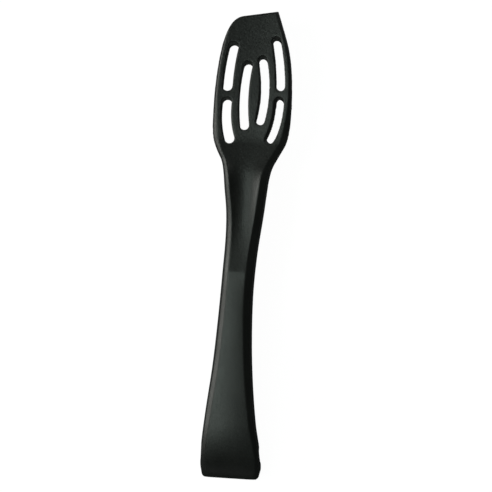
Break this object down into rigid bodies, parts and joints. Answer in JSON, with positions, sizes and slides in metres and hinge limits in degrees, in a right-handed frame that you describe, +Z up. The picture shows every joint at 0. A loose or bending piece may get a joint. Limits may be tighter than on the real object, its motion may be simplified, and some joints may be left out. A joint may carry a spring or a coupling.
{
  "type": "kitchen tongs",
  "caption": "Spring-loaded kitchen tongs: two slotted spatula-shaped nylon arms hinged on a steel pin at the rolled heel and held open by a torsion spring.",
  "frame": {"origin": "point on the flat outer face of the lower handle, 80 mm from the back of the heel, which the tongs rest on", "axes": "+Z up out of the resting face, +Y along the tongs towards the tips, +X across them along the hinge pin"},
  "size_m": [0.0483, 0.2905, 0.0808],
  "materials": {
    "black_nylon": "satin moulded nylon",
    "bright_steel": "turned and polished",
    "spring_steel": "drawn wire",
    "white_acetal": "natural moulded acetal"
  },
  "bodies": {
    "lower_half": {"lower_arm": "black_nylon", "hinge_pin": "bright_steel", "cap_nut": "bright_steel", "head_washer": "bright_steel", "nut_washer": "bright_steel", "spring_bush": "white_acetal", "torsion_spring": "spring_steel"},
    "upper_half": {"upper_arm": "black_nylon"}
  },
  "joints": [
    {"name": "heel_hinge", "type": "hinge", "parent": "lower_half", "child": "upper_half", "pos_m": [-0.001, -0.0645, 0.0155], "axis": [1, 0, 0], "range_deg": [-13, 0], "stiffness_Nm_per_rad": 2, "springref_deg": 6.88, "deforming": ["torsion_spring"]}
  ]
}
